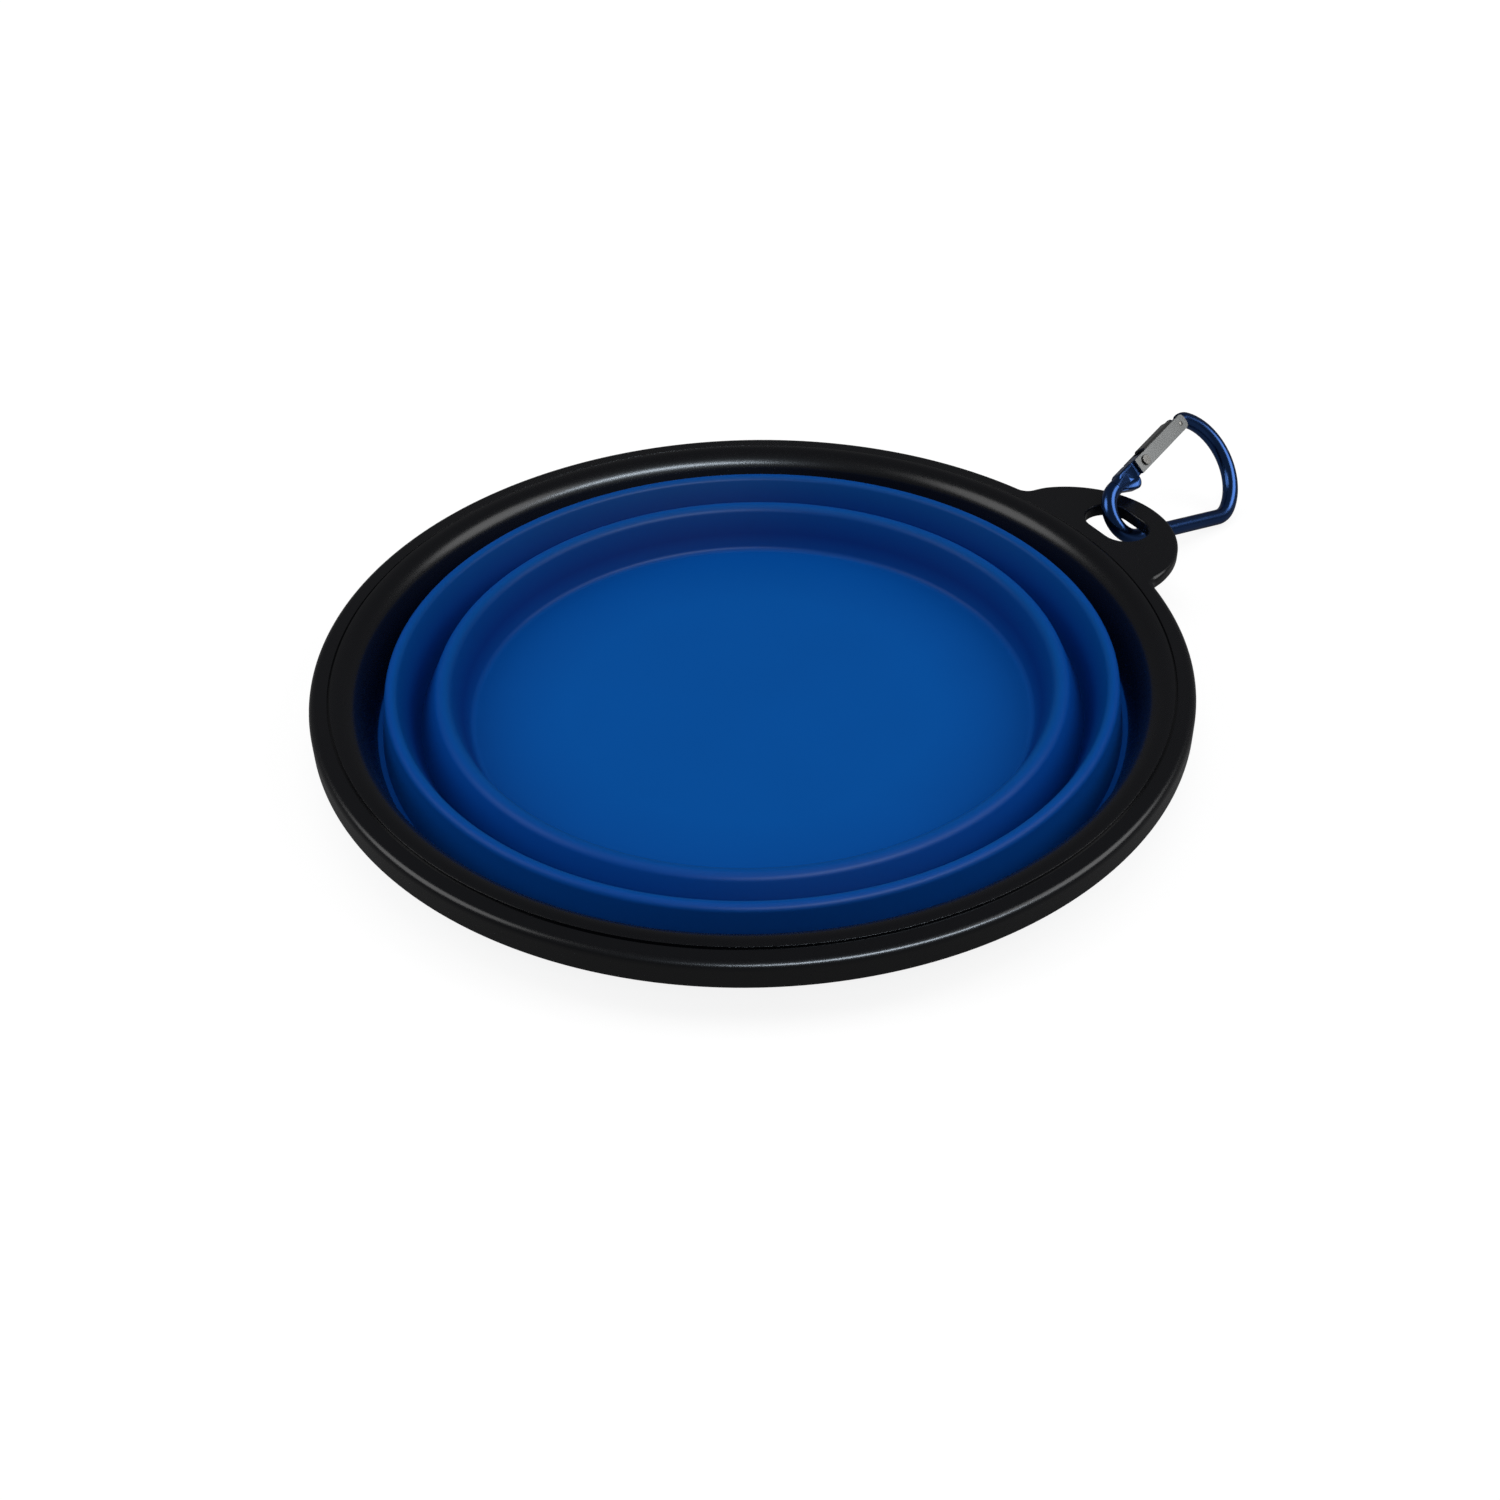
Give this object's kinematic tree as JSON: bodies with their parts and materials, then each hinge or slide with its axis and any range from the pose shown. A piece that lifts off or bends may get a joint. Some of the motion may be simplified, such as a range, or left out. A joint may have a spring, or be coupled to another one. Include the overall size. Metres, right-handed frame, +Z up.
{
  "type": "collapsible pet bowl",
  "caption": "Round silicone travel bowl with two fold webs that pop up out of a flat disc, in a hard rim whose lug carries a spring-gated snap clip.",
  "frame": {"origin": "centre of the floor's underside, on the table", "axes": "+Z up along the bowl's axis, +X towards the lug and the clip"},
  "size_m": [0.2319, 0.18, 0.0225],
  "materials": {
    "silicone": "smooth satin silicone, blue",
    "rim_plastic": "fine satin moulded plastic, near black",
    "anodised_wire": "polished and anodised dark blue",
    "gate_sheet": "bare, lightly brushed",
    "small_steel": "bright drawn wire"
  },
  "bodies": {
    "base": {"base_cup": "silicone", "lower_web": "silicone"},
    "middle": {"middle_ring": "silicone", "upper_web": "silicone"},
    "rim_ring": {"upper_ring": "silicone", "rim": "rim_plastic"},
    "clip": {"clip_frame": "anodised_wire", "gate_rivet": "small_steel"},
    "gate": {"clip_gate": "gate_sheet", "latch_pin": "small_steel", "gate_spring": "small_steel", "spring_plunger": "small_steel"}
  },
  "joints": [
    {"name": "lower_fold", "type": "slide", "parent": "base", "child": "middle", "axis": [0, 0, 1], "range_m": [0, 0.016], "deforming": ["lower_web"]},
    {"name": "upper_fold", "type": "slide", "parent": "middle", "child": "rim_ring", "axis": [0, 0, 1], "range_m": [0, 0.0204], "deforming": ["upper_web"]},
    {"name": "clip_swing", "type": "hinge", "parent": "rim_ring", "child": "clip", "pos_m": [0.10311, 0.00443, 0.01227], "axis": [0.2179, -0.7113, 0.6683], "range_deg": [-100, 90]},
    {"name": "gate_hinge", "type": "hinge", "parent": "clip", "child": "gate", "pos_m": [0.11235, 0.01266, 0.01802], "axis": [-0.2179, 0.7113, -0.6683], "range_deg": [0, 24], "stiffness_Nm_per_rad": 0.05, "springref_deg": -34.38}
  ]
}
